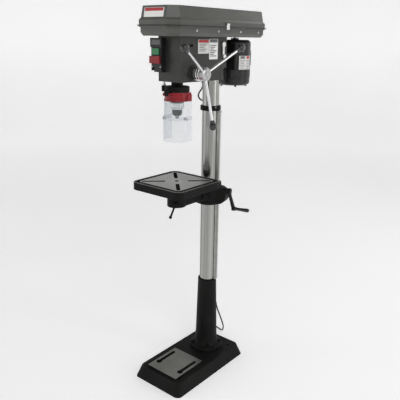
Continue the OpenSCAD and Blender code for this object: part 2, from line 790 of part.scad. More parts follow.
module cover_lid() {
    color(cover_grey) difference() {
        union() {
            difference() {
                union() {
                    translate([0, 0, seam_z + 0.2]) linear_extrude(22) polygon(cover_pts(0));
                    cover_block(0, seam_z + 22, 8, seam_z + 30);
                    cover_block(8, seam_z + 29, 16, cover_top);
                }
                translate([0, 0, seam_z - 1]) linear_extrude(22) polygon(cover_pts(2));
                cover_block(2, seam_z + 20.9, 10, seam_z + 29);
                cover_block(10, seam_z + 28, 18, cover_top - 2);
            }
            for (y = hinge_ys) {
                knuckle(y - 8, 16, 4.5, 1);
                translate([hinge_x, y - 8, seam_z + 0.6]) cube([6.5, 16, 3]);
            }
            for (d = [-13.5, 10.4]) translate([cover_hw - 2, col_y - 39 + d, seam_z + 10])
                cube([9, 3.1, 9]);
        }
        for (y = hinge_ys) translate([hinge_x, y - 30, seam_z]) along_y(2 + run, 60);
        translate([latch_x, col_y - 60, latch_z]) along_y(1.5 + fit, 50);
    }
}

latch_x = cover_hw + 3.6;
latch_z = seam_z + 14;
module hinge_pins() {
    color(steel) for (y = hinge_ys) translate([hinge_x, y - 22.4, seam_z]) along_y(2, 44.8);
}

module lid_latch() {
    color(steel) translate([latch_x, col_y - 49, 0]) {
        translate([0, -3.2, latch_z]) along_y(1.5, 26.4);
        translate([0, 0, latch_z]) along_y(3, 20);
        translate([-1, 0, seam_z - 7]) cube([2, 20, 21]);
    }
}

module switch_box() {
    y = head_front - 24;
    color(plastic_black) difference() {
        union() {
            translate([-76, y, 1384]) cube([54, 24, 129]);
            translate([-80, y - 2, 1478]) cube([60, 26, 35]);
        }
        translate([-49, y - 3, 1462]) rotate([-90, 0, 0]) linear_extrude(18)
            square([36.8, 24.8], center = true);
        translate([-49, y - 3, 1431]) along_y(6.4, 18);
        translate([-82, y - 3, 1378]) rotate([0, 30, 0]) cube([14, 40, 30]);
    }
}

module start_button() {
    color([0.05, 0.35, 0.1]) translate([-67, head_front - 30, 1450]) cube([36, 17, 24]);
}

module stop_button() {
    y = head_front - 24;
    color([0.7, 0.06, 0.06]) {
        translate([-76, y - 12, 1417]) cube([54, 7, 28]);
        translate([-49, y - 8, 1431]) along_y(6, 19);
    }
}

// Mains cord: gland under the head, down behind the column, to the floor behind the base
cord_r = cord_d / 2;
gland_xy = [-52, col_y + 8];
plug_xy = [-200, col_y + 293];
plug_turn = 129.4;
cord_path = [[-52, 126, 1321], [-54, 126.5, 1306], [-72, 131, 1290], [-87, 136, 1273], [-91, 147, 1256],
    [-82, 166, 1243], [-60, 181, 1236], [-36, 184, 1222], [-19, 181, 1196], [-14, 179, 1160],
    [-14, 179, 1080], [-14, 179, 1000], [-14, 179, 900], [-14, 179, 800], [-14, 179, 700],
    [-14, 179, 600], [-14, 179, 500], [-13, 179, 430], [-10, 184, 340], [-6, 195, 268],
    [-4, 208, 215], [3, 221, 178], [5, 236, 142], [1, 261, 92], [-24, 290, 54], [-51, 321, 22],
    [-77, 343, 6], [-105, 353, 3.5], [-135, 358, 3.5], [-163, 371, 3.5], [-185, 392, 4], [-200, 411, 9]];

function mid(a, b) = (a + b) / 2;
// Quadratic blend through the midpoints of the path
cord_line = let (p = cord_path, n = len(p)) concat([p[0]],
    [for (i = [1:n - 2], t = (norm(p[i + 1] - p[i - 1]) < 90 ? [0, 0.5] : [0, 0.34, 0.67]))
        let (a = i == 1 ? p[0] : mid(p[i - 1], p[i]), b = i == n - 2 ? p[n - 1] : mid(p[i], p[i + 1]))
        (1 - t) * (1 - t) * a + 2 * t * (1 - t) * p[i] + t * t * b],
    [p[n - 1]]);
function unit(v) = v / norm(v);

module power_cord() {
    line = [for (i = [0:len(cord_line) - 1]) if (i != 1) cord_line[i]];
    n = len(line);
    sides = 10;
    dir = [for (i = [0:n - 1]) unit(line[min(n - 1, i + 1)] - line[max(0, i - 1)])];
    ref = unit([0.75, 0.62, 0.23]);
    color(plastic_black) polyhedron(
        points = [for (i = [0:n - 1]) let (u = unit(cross(ref, dir[i])), v = cross(dir[i], u))
            each [for (k = [0:sides - 1])
                line[i] + cord_r * (u * cos(360 * k / sides) + v * sin(360 * k / sides))]],
        faces = concat([[for (k = [0:sides - 1]) k]],
            [for (i = [0:n - 2], k = [0:sides - 1]) [i * sides + k, (i + 1) * sides + k,
                (i + 1) * sides + (k + 1) % sides, i * sides + (k + 1) % sides]],
            [[for (k = [sides - 1:-1:0]) (n - 1) * sides + k]]));
}

module cord_gland() {
    color(plastic_black) translate([gland_xy[0], gland_xy[1], 0]) rotate_extrude() polygon([[0, 1321],
        [4.6, 1321], [6.5, 1340], [9, 1341], [9, head_z[0]], [0, head_z[0]]]);
}

module plug() {
    color(plastic_black) translate([plug_xy[0], plug_xy[1], 9]) rotate([0, 0, plug_turn]) {
        rotate([0, 90, 0]) rotate_extrude()
            polygon([[0, 0], [4.6, 0], [5, 10], [7.5, 28], [7.5, 34], [0, 34]]);
        translate([28, 0, -9]) linear_extrude(18) polygon([[0, -8], [6, -13], [38, -13], [38, 13], [6, 13],
            [0, 8]]);
    }
    color(steel) translate([plug_xy[0], plug_xy[1], 9]) rotate([0, 0, plug_turn]) {
        for (y = [-6.3, 6.3]) translate([65, y - 0.8, -1]) cube([17, 1.6, 6.4]);
        translate([65, 0, -5]) along_x(2.4, 19);
    }
}

base();
column_support();
support_bolts();
column();
rack_collar();
set_screws();
rack();
column_bracket();
lift_gear();
gear_pin();
worm_shaft();
crank_arm();
crank_grip();
column_clamp_lever();
table_arm();
tilt_bolt();
table_lock_lever();
table();
head_casting();
spring_cap();
return_spring();
quill();
quill_bearings();
spindle();
quill_collar();
guide_rod();
feed_shaft();
feed_hub();
feed_rods();
feed_knobs();
depth_stop_ring();
chuck_body();
chuck_sleeve();
chuck_jaws();
guard_ring();
shield_upper();
shield_lower();
shield_screws();
drive_sleeve();
drive_bearings();
spindle_pulley();
idler_pulley();
idler_arm();
motor_pulley();
front_belt();
rear_belt();
motor();
motor_shaft();
motor_mount();
tension_lever();
cover_pan();
cover_lid();
hinge_pins();
lid_latch();
switch_box();
start_button();
stop_button();
cord_gland();
power_cord();
plug();
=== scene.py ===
"""Floor-standing drill press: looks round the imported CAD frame."""
import math

import bmesh
import bpy
from mathutils import Matrix, Vector


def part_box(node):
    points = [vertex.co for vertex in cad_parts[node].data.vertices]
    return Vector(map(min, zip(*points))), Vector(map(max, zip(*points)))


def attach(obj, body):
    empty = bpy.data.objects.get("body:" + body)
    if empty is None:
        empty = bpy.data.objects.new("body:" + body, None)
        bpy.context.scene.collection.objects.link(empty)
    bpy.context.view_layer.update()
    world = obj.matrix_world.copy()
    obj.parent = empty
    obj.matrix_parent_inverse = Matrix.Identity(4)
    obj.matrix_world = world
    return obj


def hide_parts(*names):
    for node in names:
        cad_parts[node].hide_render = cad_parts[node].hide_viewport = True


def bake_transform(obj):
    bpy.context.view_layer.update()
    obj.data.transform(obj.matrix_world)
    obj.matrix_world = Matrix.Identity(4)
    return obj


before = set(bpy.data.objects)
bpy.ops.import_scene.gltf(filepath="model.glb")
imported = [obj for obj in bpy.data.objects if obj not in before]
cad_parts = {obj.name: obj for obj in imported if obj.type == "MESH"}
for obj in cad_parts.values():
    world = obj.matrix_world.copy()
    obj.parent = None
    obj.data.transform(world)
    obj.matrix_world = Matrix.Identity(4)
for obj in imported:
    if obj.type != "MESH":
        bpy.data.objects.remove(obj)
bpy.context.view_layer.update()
scene = bpy.context.scene

# Landmarks from the frame
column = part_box("column")
COL = Vector(((column[0][0] + column[1][0]) / 2, (column[0][1] + column[1][1]) / 2, 0))
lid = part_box("cover_lid")
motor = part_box("motor")


def mid(node):
    low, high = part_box(node)
    return Vector([(a + b) / 2 for a, b in zip(low, high)])


# ---------------------------------------------------------------- camera

CAMERA_AT = (1.4609, -1.8430, 1.5135)
CAMERA_FORWARD = (-0.6073, 0.7400, -0.2890)
CAMERA_UP = (-0.1953, 0.2136, 0.9572)
LENS_MM, SENSOR_MM = 48.2, 36


def add_camera():
    """In front and to the right of the column, 1.5 m up, tilted down 17 degrees."""
    data = bpy.data.cameras.new("camera")
    data.sensor_width = SENSOR_MM
    data.lens = LENS_MM
    cam = bpy.data.objects.new("camera", data)
    scene.collection.objects.link(cam)
    forward = Vector(CAMERA_FORWARD).normalized()
    up = Vector(CAMERA_UP).normalized()
    right = forward.cross(up).normalized()
    up = right.cross(forward)
    turn = Matrix((right, up, -forward)).transposed().to_4x4()
    cam.matrix_world = Matrix.Translation(COL + Vector(CAMERA_AT)) @ turn
    scene.camera = cam


add_camera()


# ---------------------------------------------------------------- cord

# The route's points in millimetres, from the strain relief to the plug
ROUTE = [(-52, 126, 1321), (-54, 126.5, 1306), (-72, 131, 1290), (-87, 136, 1273), (-91, 147, 1256),
         (-82, 166, 1243), (-60, 181, 1236), (-36, 184, 1222), (-19, 181, 1196), (-14, 179, 1160),
         (-14, 179, 1080), (-14, 179, 1000), (-14, 179, 900), (-14, 179, 800), (-14, 179, 700),
         (-14, 179, 600), (-14, 179, 500), (-13, 179, 430), (-10, 184, 340), (-6, 195, 268),
         (-4, 208, 215), (3, 221, 178), (5, 236, 142), (1, 261, 92), (-24, 290, 54), (-51, 321, 22),
         (-77, 343, 6), (-105, 353, 3.5), (-135, 358, 3.5), (-163, 371, 3.5), (-185, 392, 4),
         (-200, 411, 9)]
CORD_D = 0.007


def blended_route():
    """The CAD cord's own line: a quadratic arc at every route point, joined halfway between them."""
    p = [Vector(q) / 1000 for q in ROUTE]
    line = [p[0]]
    for i in range(1, len(p) - 1):
        a = p[0] if i == 1 else (p[i - 1] + p[i]) / 2
        b = p[-1] if i == len(p) - 2 else (p[i] + p[i + 1]) / 2
        for k in range(4):
            t = k / 4
            line.append((1 - t) ** 2 * a + 2 * t * (1 - t) * p[i] + t * t * b)
    line.append(p[-1])
    return [q for i, q in enumerate(line) if i != 1]


def add_cord():
    """The mains cord, from the strain relief under the head to its plug on the floor."""
    line = blended_route()
    curve = bpy.data.curves.new("mains_cord", "CURVE")
    curve.dimensions = "3D"
    curve.bevel_depth = 1
    curve.bevel_resolution = 5
    spline = curve.splines.new("POLY")
    spline.points.add(len(line) - 1)
    for point, q in zip(spline.points, line):
        point.co = (*q, 1)
        point.radius = CORD_D / 2
    spline.use_smooth = True
    obj = bpy.data.objects.new("mains_cord", curve)
    scene.collection.objects.link(obj)
    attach(obj, "frame")
    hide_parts("power_cord")
    return obj


cord = add_cord()


# ---------------------------------------------------------------- materials

def add_node(tree, kind, inputs=None, **settings):
    """A shader node with its settings. An input is a value, or a socket to link."""
    node = tree.nodes.new(kind)
    for key, value in settings.items():
        setattr(node, key, value)
    for key, value in (inputs or {}).items():
        if isinstance(value, bpy.types.NodeSocket):
            tree.links.new(value, node.inputs[key])
        else:
            node.inputs[key].default_value = value
    return node


def colour(rgb):
    return (*rgb, 1)


def grain_of(tree, scale, stretch, detail=6):
    """Noise in the piece's own space, drawn out along the axes whose stretch is small."""
    place = add_node(tree, "ShaderNodeTexCoord")
    turned = add_node(tree, "ShaderNodeMapping", {"Vector": place.outputs["Object"], "Scale": stretch})
    noise = add_node(tree, "ShaderNodeTexNoise",
                     {"Vector": turned.outputs["Vector"], "Scale": scale, "Detail": detail})
    return noise.outputs["Fac"]


def ramp(tree, fac, low, high, a, b):
    """fac between low and high runs from colour a to colour b."""
    node = add_node(tree, "ShaderNodeValToRGB", {"Fac": fac})
    node.color_ramp.elements[0].position = low
    node.color_ramp.elements[1].position = high
    node.color_ramp.elements[0].color = colour(a)
    node.color_ramp.elements[1].color = colour(b)
    return node.outputs["Color"]


def level(tree, fac, a, b):
    """fac between 0.3 and 0.7, the middle of the noise, runs from a to b."""
    node = add_node(tree, "ShaderNodeMapRange", {"Value": fac, "From Min": 0.3, "From Max": 0.7,
                                                 "To Min": a, "To Max": b})
    return node.outputs["Result"]


SPECK_SCALE = 0.6           # specks against grain
WEAR_RANGE = (0.04, 0.16)   # how far the rounded normal leans before paint wears through
COAT_ROUGH = 0.15


def coating(tree, rgb, vary, rough, metal=0.0, grain=300, stretch=(1, 1, 1), bump=0.1, patch=9,
            worn=None, edge=0.0012, cells=0, coat=0.0, specks=None, shine=0.5, streak=1):
    """One Principled surface: patchy colour, fine grain in roughness and relief, worn edges."""
    fine = grain_of(tree, grain, stretch)
    # Broad colour patches. A streak below 1 draws them out along Z, which on the column gives painted
    # reflection streaks.
    broad = grain_of(tree, patch, (1, 1, streak), 4)
    col = ramp(tree, broad, 0.35, 0.65, rgb, vary)
    if specks:
        dots = grain_of(tree, grain * SPECK_SCALE, stretch, 2)
        mask = ramp(tree, dots, 0.62, 0.72, (0, 0, 0), (1, 1, 1))
        col = mix(tree, mask, col, colour(specks))
    round_edge = add_node(tree, "ShaderNodeBevel", {"Radius": edge}, samples=4)
    if worn:
        flat = add_node(tree, "ShaderNodeNewGeometry").outputs["Normal"]
        same = add_node(tree, "ShaderNodeVectorMath", {0: flat, 1: round_edge.outputs["Normal"]},
                        operation="DOT_PRODUCT").outputs["Value"]
        off = add_node(tree, "ShaderNodeMath", {0: 1.0, 1: same}, operation="SUBTRACT").outputs[0]
        rub = add_node(tree, "ShaderNodeMath", {0: off, 1: level(tree, broad, 0.3, 1.6)},
                       operation="MULTIPLY").outputs[0]
        mask = ramp(tree, rub, *WEAR_RANGE, (0, 0, 0), (1, 1, 1))
        col = mix(tree, mask, col, colour(worn))
    height = fine
    if cells:
        place = add_node(tree, "ShaderNodeTexCoord")
        height = add_node(tree, "ShaderNodeTexVoronoi", {"Vector": place.outputs["Object"], "Scale": cells,
                          "Smoothness": 1.0}, feature="SMOOTH_F1").outputs["Distance"]
    relief = add_node(tree, "ShaderNodeBump", {"Strength": bump, "Distance": 0.001, "Height": height,
                                               "Normal": round_edge.outputs["Normal"]})
    bsdf = add_node(tree, "ShaderNodeBsdfPrincipled", {
        "Base Color": col, "Roughness": level(tree, fine, rough * 0.8, min(1, rough * 1.25)),
        "Metallic": metal, "Normal": relief.outputs["Normal"]})
    bsdf.inputs["Specular IOR Level"].default_value = shine
    bsdf.inputs["Coat Weight"].default_value = coat
    bsdf.inputs["Coat Roughness"].default_value = COAT_ROUGH
    return bsdf.outputs["BSDF"]


def mix(tree, factor, a, b):
    """Colour a where factor is 0, colour b where it is 1."""
    node = tree.nodes.new("ShaderNodeMix")
    node.data_type = "RGBA"
    for index, value in ((0, factor), (6, a), (7, b)):
        if isinstance(value, bpy.types.NodeSocket):
            tree.links.new(value, node.inputs[index])
        else:
            node.inputs[index].default_value = value
    return node.outputs[2]


def new_material(name, *args, **kw):
    """A material with one coating, whose arguments follow the name."""
    mat = bpy.data.materials.new(name)
    mat.use_nodes = True
    tree = mat.node_tree
    tree.nodes.clear()
    out = add_node(tree, "ShaderNodeOutputMaterial")
    tree.links.new(coating(tree, *args, **kw), out.inputs["Surface"])
    return mat


def bare_square(tree, at, box, half, corner, line):
    """1 within half of a rounded square's middle, and along its outer edge. 0 on the rim between."""
    low, high = box
    middle = ((low[0] + high[0]) / 2, (low[1] + high[1]) / 2, 0)
    straight = (high[0] - low[0]) / 2 - corner
    off = add_node(tree, "ShaderNodeVectorMath", {0: at, 1: middle}, operation="SUBTRACT").outputs[0]
    away = add_node(tree, "ShaderNodeVectorMath", {0: off}, operation="ABSOLUTE").outputs[0]
    parts = add_node(tree, "ShaderNodeSeparateXYZ", {"Vector": away}).outputs
    far = add_node(tree, "ShaderNodeMath", {0: parts["X"], 1: parts["Y"]},
                   operation="MAXIMUM").outputs[0]
    inside = add_node(tree, "ShaderNodeMath", {0: far, 1: half}, operation="LESS_THAN").outputs[0]
    past = add_node(tree, "ShaderNodeVectorMath", {0: away, 1: (straight, straight, 9)},
                    operation="SUBTRACT").outputs[0]
    beyond = add_node(tree, "ShaderNodeVectorMath", {0: past, 1: (0, 0, 0)},
                      operation="MAXIMUM").outputs[0]
    reach = add_node(tree, "ShaderNodeVectorMath", {0: beyond}, operation="LENGTH").outputs["Value"]
    outer = add_node(tree, "ShaderNodeMath", {0: reach, 1: corner - line},
                     operation="GREATER_THAN").outputs[0]
    return add_node(tree, "ShaderNodeMath", {0: inside, 1: outer}, operation="MAXIMUM").outputs[0]


UPWARD = 0.9        # least Z of a normal that counts as facing up
TOP_MARGIN = .0005  # how far below a top face the ground metal starts


def add_ground_top(mat, node, shader_args, square=None):
    """On the node's top, upward faces show bare ground metal, but only where square allows."""
    tree = mat.node_tree
    out = next(n for n in tree.nodes if n.type == "OUTPUT_MATERIAL")
    paint = out.inputs["Surface"].links[0].from_socket
    place = add_node(tree, "ShaderNodeTexCoord")
    at = add_node(tree, "ShaderNodeSeparateXYZ", {"Vector": place.outputs["Object"]}).outputs["Z"]
    up = add_node(tree, "ShaderNodeSeparateXYZ", {"Vector": place.outputs["Normal"]}).outputs["Z"]
    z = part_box(node)[1][2] - TOP_MARGIN
    high = add_node(tree, "ShaderNodeMath", {0: at, 1: z}, operation="GREATER_THAN").outputs[0]
    flat = add_node(tree, "ShaderNodeMath", {0: up, 1: UPWARD}, operation="GREATER_THAN").outputs[0]
    both = add_node(tree, "ShaderNodeMath", {0: high, 1: flat}, operation="MULTIPLY").outputs[0]
    if square:
        bare = bare_square(tree, place.outputs["Object"], *square)
        both = add_node(tree, "ShaderNodeMath", {0: both, 1: bare}, operation="MULTIPLY").outputs[0]
    blend = add_node(tree, "ShaderNodeMixShader", {0: both, 1: paint, 2: coating(tree, **shader_args)})
    tree.links.new(blend.outputs[0], out.inputs["Surface"])
    return mat


BLACK_PAINT = dict(rgb=(.006, .0063, .0059), vary=(.0105, .0108, .01), rough=.5, grain=420, bump=.22,
                   worn=(.04, .04, .038), shine=.09)
GROUND = dict(rgb=(.3, .3, .285), vary=(.4, .4, .385), rough=.34, metal=.75, grain=160,
              stretch=(1, 9, 1), bump=.08, patch=7, specks=(.16, .15, .13))
BASE_GROUND = {**GROUND, "rgb": (.2, .2, .185), "vary": (.29, .29, .27)}
TABLE_BARE = (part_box("table"), .118, .03, .0035)
M = {
    "cast": new_material("cast", **BLACK_PAINT),
    "base": add_ground_top(new_material("base", **BLACK_PAINT), "base", BASE_GROUND),
    "table": add_ground_top(new_material("table", **BLACK_PAINT), "table", GROUND, TABLE_BARE),
}

EVEN = (1, 1, 1)
# Name: darkest and lightest colour, roughness, metal, grain scale and stretch, relief, patch scale, more
FINISHES = {
    # The column's colour runs from dark to light in tall vertical streaks. These are painted reflection
    # streaks of a striped studio on polished steel.
    "column": ((.22, .22, .21), (.56, .56, .54), .2, 1.0, 260, (1, 1, .03), .08, 55, dict(streak=.004)),
    "rack": ((.36, .36, .34), (.46, .46, .44), .36, 1.0, 500, EVEN, .1, 30, dict(edge=.0003)),
    "dark": ((.028, .028, .027), (.05, .05, .048), .28, .9, 500, EVEN, .06, 30,
             dict(worn=(.2, .2, .195))),
    "steel": ((.45, .45, .45), (.58, .58, .58), .3, 1.0, 500, EVEN, .06, 30, {}),
    "chrome": ((.72, .72, .73), (.8, .8, .8), .09, 1.0, 700, EVEN, .015, 30, {}),
    "bright": ((.75, .75, .75), (.85, .85, .84), .2, 1.0, 500, (.1, 1, 1), .05, 30, {}),
    "head": ((.026, .027, .0245), (.034, .035, .0315), .36, 0, 500, EVEN, .1, 8,
             dict(worn=(.11, .11, .105), cells=330, coat=.08, shine=.3)),
    "cover": ((.069, .0715, .0625), (.084, .0865, .0765), .32, 0, 500, EVEN, .14, 6,
              dict(worn=(.15, .152, .14), cells=330, coat=.12, shine=.35)),
    "motor": ((.007, .007, .007), (.012, .012, .012), .32, 0, 600, EVEN, .12, 10,
              dict(worn=(.045, .045, .045), coat=.1, shine=.35)),
    "alloy": ((.55, .55, .56), (.65, .65, .66), .38, .9, 300, EVEN, .2, 20, {}),
    "plastic": ((.008, .008, .0085), (.014, .014, .0145), .38, 0, 900, EVEN, .15, 30,
                dict(worn=(.03, .03, .03), shine=.35)),
    "knob": ((.008, .008, .008), (.013, .013, .013), .14, 0, 900, EVEN, .02, 30, dict(coat=.5)),
    "red": ((.21, .005, .009), (.27, .007, .012), .3, 0, 900, EVEN, .06, 25, dict(coat=.1, shine=.3)),
    "green": ((.01, .17, .055), (.015, .21, .07), .3, 0, 900, EVEN, .06, 25, {}),
    "rubber": ((.012, .012, .012), (.02, .02, .02), .55, 0, 800, EVEN, .2, 30, {}),
    "plate": ((.62, .62, .6), (.7, .7, .68), .3, .1, 500, EVEN, .02, 20, dict(edge=.0004)),
    "white": ((.78, .78, .76), (.84, .84, .82), .3, 0, 600, EVEN, .02, 20, dict(edge=.0004)),
    "print_red": ((.4, .012, .02), (.45, .016, .025), .35, 0, 700, EVEN, .02, 20, dict(edge=.0004)),
    "print_grey": ((.1, .1, .1), (.14, .14, .14), .4, 0, 700, EVEN, .02, 20, dict(edge=.0004)),
}
for look, (*numbers, more) in FINISHES.items():
    M[look] = new_material(look, *numbers, **more)


def clear_material():
    """Clear polycarbonate: thin, faintly blue, lightly scuffed."""
    mat = bpy.data.materials.new("clear")
    mat.use_nodes = True
    tree = mat.node_tree
    tree.nodes.clear()
    scuff = grain_of(tree, 60, (1, 1, .15))
    gloss = add_node(tree, "ShaderNodeBsdfPrincipled", {"Base Color": (.9, .94, .96, 1),
                     "Roughness": level(tree, scuff, .04, .14)})
    gloss.inputs["IOR"].default_value = 1.5
    through = add_node(tree, "ShaderNodeBsdfTransparent", {"Color": (.925, .93, .94, 1)})
    rim = add_node(tree, "ShaderNodeLayerWeight", {"Blend": .32}).outputs["Facing"]
    share = add_node(tree, "ShaderNodeMapRange", {"Value": rim, "To Min": .05, "To Max": .5})
    both = add_node(tree, "ShaderNodeMixShader",
                    {0: share.outputs["Result"], 1: through.outputs[0], 2: gloss.outputs[0]})
    add_node(tree, "ShaderNodeOutputMaterial", {"Surface": both.outputs[0]})
    return mat


M["clear"] = clear_material()

# The CAD nodes that take each material
LOOKS = {
    "cast": ["column_support", "support_bolts", "quill", "rack_collar", "column_bracket", "crank_arm",
             "table_arm", "quill_collar", "motor_mount", "table_lock_lever", "gear_pin"],
    "base": ["base"], "table": ["table"], "column": ["column"],
    "rack": ["rack"], "dark": ["chuck_body"],
    "steel": ["feed_hub", "set_screws", "lift_gear", "worm_shaft", "tilt_bolt",
              "return_spring", "quill_bearings", "spindle", "guide_rod", "shield_screws", "drive_sleeve",
              "drive_bearings", "idler_arm", "motor_shaft", "hinge_pins", "chuck_jaws",
              "column_clamp_lever"],
    "chrome": ["chuck_sleeve", "feed_rods"],
    "bright": ["feed_shaft", "depth_stop_ring", "tension_lever", "lid_latch"],
    "head": ["head_casting"], "cover": ["cover_pan", "cover_lid"], "motor": ["motor"],
    "alloy": ["spindle_pulley", "idler_pulley", "motor_pulley"],
    "plastic": ["spring_cap", "switch_box", "cord_gland", "plug"],
    "knob": ["feed_knobs", "crank_grip"],
    "red": ["guard_ring", "stop_button"], "green": ["start_button"],
    "clear": ["shield_upper", "shield_lower"], "rubber": ["front_belt", "rear_belt"],
}
for look, names in LOOKS.items():
    for name in names:
        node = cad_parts[name]
        if not node.material_slots:
            node.data.materials.append(M[look])
        for place in node.material_slots:
            place.material = M[look]
cord.data.materials.append(M["rubber"])


# ---------------------------------------------------------------- extra pieces

def add_piece(name, bm, look, body, smooth=False, where=None):
    """A finished mesh becomes a piece with a material, riding on a CAD body."""
    if where is not None:
        bm.transform(where)
    bmesh.ops.recalc_face_normals(bm, faces=bm.faces)
    for face in bm.faces:
        face.smooth = smooth
    mesh = bpy.data.meshes.new(name)
    bm.to_mesh(mesh)
    bm.free()
    obj = bpy.data.objects.new(name, mesh)
    obj.data.materials.append(M[look])
    scene.collection.objects.link(obj)
    if body:
        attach(obj, body)
    return obj


def outline(w, h, r, steps=6):
    """Rounded rectangle about the origin, anticlockwise."""
    pts = []
    for k, (sx, sy) in enumerate([(1, 1), (-1, 1), (-1, -1), (1, -1)]):
        for i in range(steps + 1):
            a = math.radians(90 * k + 90 * i / steps)
            pts.append((sx * (w / 2 - r) + r * math.cos(a), sy * (h / 2 - r) + r * math.sin(a)))
    return pts


def extrude_rings(bm, rings):
    """Skin between closed rings of points, capped at both ends."""
    rows = [[bm.verts.new(p) for p in ring] for ring in rings]
    n = len(rows[0])
    for lower, upper in zip(rows, rows[1:]):
        for i in range(n):
            bm.faces.new((lower[i], lower[(i + 1) % n], upper[(i + 1) % n], upper[i]))
    bm.faces.new(rows[0][::-1])
    bm.faces.new(rows[-1])
    return rows


def plate_mesh(w, h, t, r, lip=0.0004):
    """A thin plate in the XY plane from z=0 to t, with a rounded top edge."""
    bm = bmesh.new()
    rings = []
    for inset, z in ((0, 0), (0, t - lip), (lip * .3, t - lip * .3), (lip, t)):
        rings.append([(x, y, z) for x, y in outline(w - 2 * inset, h - 2 * inset, max(r - inset, 1e-4))])
    extrude_rings(bm, rings)
    return bm


def lathe_mesh(profile, steps=32):
    """Turns (radius, height) points about Z. Radius 0 closes an end."""
    bm = bmesh.new()
    rows = []
    for r, z in profile:
        if r == 0:
            rows.append([bm.verts.new((0, 0, z))])
        else:
            rows.append([bm.verts.new((r * math.cos(2 * math.pi * k / steps),
                                       r * math.sin(2 * math.pi * k / steps), z)) for k in range(steps)])
    for a, b in zip(rows, rows[1:]):
        for k in range(steps):
            n = (k + 1) % steps
            if len(a) == 1:
                bm.faces.new((a[0], b[k], b[n]))
            elif len(b) == 1:
                bm.faces.new((a[k], a[n], b[0]))
            else:
                bm.faces.new((a[k], a[n], b[n], b[k]))
    return bm


def placed(origin, x_axis, z_axis):
    """Frame at origin whose Z points along z_axis and X along x_axis."""
    z = Vector(z_axis).normalized()
    x = Vector(x_axis).normalized()
    y = z.cross(x).normalized()
    turn = Matrix((y.cross(z), y, z)).transposed().to_4x4()
    return Matrix.Translation(Vector(origin)) @ turn


def add_label(name, centre, x_axis, z_axis, w, h, look, body, band=None, rows=0, t=0.0008):
    """A blank plate: an optional coloured band along its top edge and plain rows for its wording."""
    at = placed(centre, x_axis, z_axis)
    add_piece(name, plate_mesh(w, h, t, .002, min(.0004, t / 2)), look, body, where=at)
    if band:
        band_look, share = band
        off = Matrix.Translation((0, h * (1 - share) / 2 - .0012, t))
        add_piece(name + "_band", plate_mesh(w - .006, h * share, .0003, .001, .0001), band_look, body,
                  where=at @ off)
    for k in range(rows):
        span = w * (.72 - .14 * (k % 3))
        off = Matrix.Translation((-(w * .8 - span) / 2, h * (.18 - .6 * k / max(1, rows)), t))
        add_piece(f"{name}_row{k}", plate_mesh(span, h * .045, .0002, .0004, .0001), "print_grey", body,
                  where=at @ off)


def add_screw(name, centre, axis, r, body, look="steel"):
    """Domed screw with a round socket. Its profile is in radii, from the socket's floor outwards."""
    dome = [(0, r * .35), (r * .45, r * .35), (r * .5, r * .75), (r * .8, r * .62), (r, r * .3), (r, 0),
            (0, 0)]
    side = (0, 0, 1) if abs(axis[2]) < .9 else (1, 0, 0)
    return add_piece(name, lathe_mesh(dome, 20), look, body, True, placed(centre, side, axis))


HEAD_X = .060       # the head's right side
RIGHT, FRONT, BACK = (1, 0, 0), (0, -1, 0), (0, 1, 0)

# Blank plates: the badge on the lid's sloping front, and two on the head's right side. The rear one is
# thin, because the tension lever swings over it.
lid_front = lid[0][1]
slope = math.atan2(.008, .043)
add_label("badge", (0, lid_front + .0113, 1.6035), RIGHT, (0, -math.cos(slope), math.sin(slope)),
          .1, .034, "white", "lid", band=("print_red", .34))
add_label("label_front", (HEAD_X, COL.y - .1285, 1.482), BACK, RIGHT, .068, .054, "plate", "frame",
          band=("print_red", .2), rows=5)
add_label("label_rear", (HEAD_X, COL.y - .064, 1.472), BACK, RIGHT, .056, .08, "white", "frame",
          band=("print_grey", .16), rows=7, t=.0003)

# Motor: two blank plates, bands, vents and a junction box
motor_axis = Vector((0, (motor[0][1] + motor[1][1]) / 2 + .0006, 0))
motor_r = (motor[1][0] - motor[0][0]) / 2
PLATE_Z, PLATE_BAND_Z, PLATE_ROW_Z = 1.414, 1.436, 1.424
BAND_ZS, VENT_Z = (1.345, 1.487), 1.366
BOX_Z = 1.43


def wrap_on_motor(bm, gap):
    """Bends a plate drawn in the XY plane round the motor shell: X becomes arc length, Y height."""
    for v in bm.verts:
        a = v.co.x / motor_r
        r = motor_r + gap + v.co.z
        v.co = (r * math.sin(a), -r * math.cos(a), v.co.y)
    return bm


def grid_plate(w, h, t, columns=14):
    """A thin plate cut into strips across its width, so that it can bend."""
    bm = bmesh.new()
    rings = []
    for k in range(columns + 1):
        x = w * (k / columns - .5)
        rings.append([(x, -h / 2, 0), (x, h / 2, 0), (x, h / 2, t), (x, -h / 2, t)])
    extrude_rings(bm, rings)
    return bm


def on_motor(azimuth, z):
    """Height z on the motor's axis, turned by azimuth degrees from the front."""
    return (Matrix.Translation(motor_axis + Vector((0, 0, z)))
            @ Matrix.Rotation(math.radians(azimuth), 4, "Z"))


def add_on_motor(name, bm, gap, look, azimuth, z, smooth=False):
    """A plate wrapped round the motor shell, gap above it."""
    add_piece(name, wrap_on_motor(bm, gap), look, "motor", smooth, on_motor(azimuth, z))


for label, azimuth in enumerate((67, 93)):
    name = f"motor_plate{label}"
    add_on_motor(name, grid_plate(.034, .058, .0006), .0001, "plate", azimuth, PLATE_Z)
    add_on_motor(name + "_band", grid_plate(.022, .011, .0002), .0008,
                 ("print_grey", "print_red")[label], azimuth, PLATE_BAND_Z)
    for k in range(6):
        row = grid_plate(.026 - .004 * (k % 3), .002, .0002)
        add_on_motor(f"{name}_row{k}", row, .0008, "print_grey", azimuth, PLATE_ROW_Z - .0068 * k)
for k, z in enumerate(BAND_ZS):
    band = grid_plate(2 * math.pi * motor_r * .999, .0035, .0009, 72)
    add_on_motor(f"motor_band{k}", band, 0, "motor", 0, z, True)
for k in range(18):
    add_on_motor(f"motor_vent{k}", plate_mesh(.0042, .03, .0011, .002), 0, "rubber", 20 * k + 8, VENT_Z)


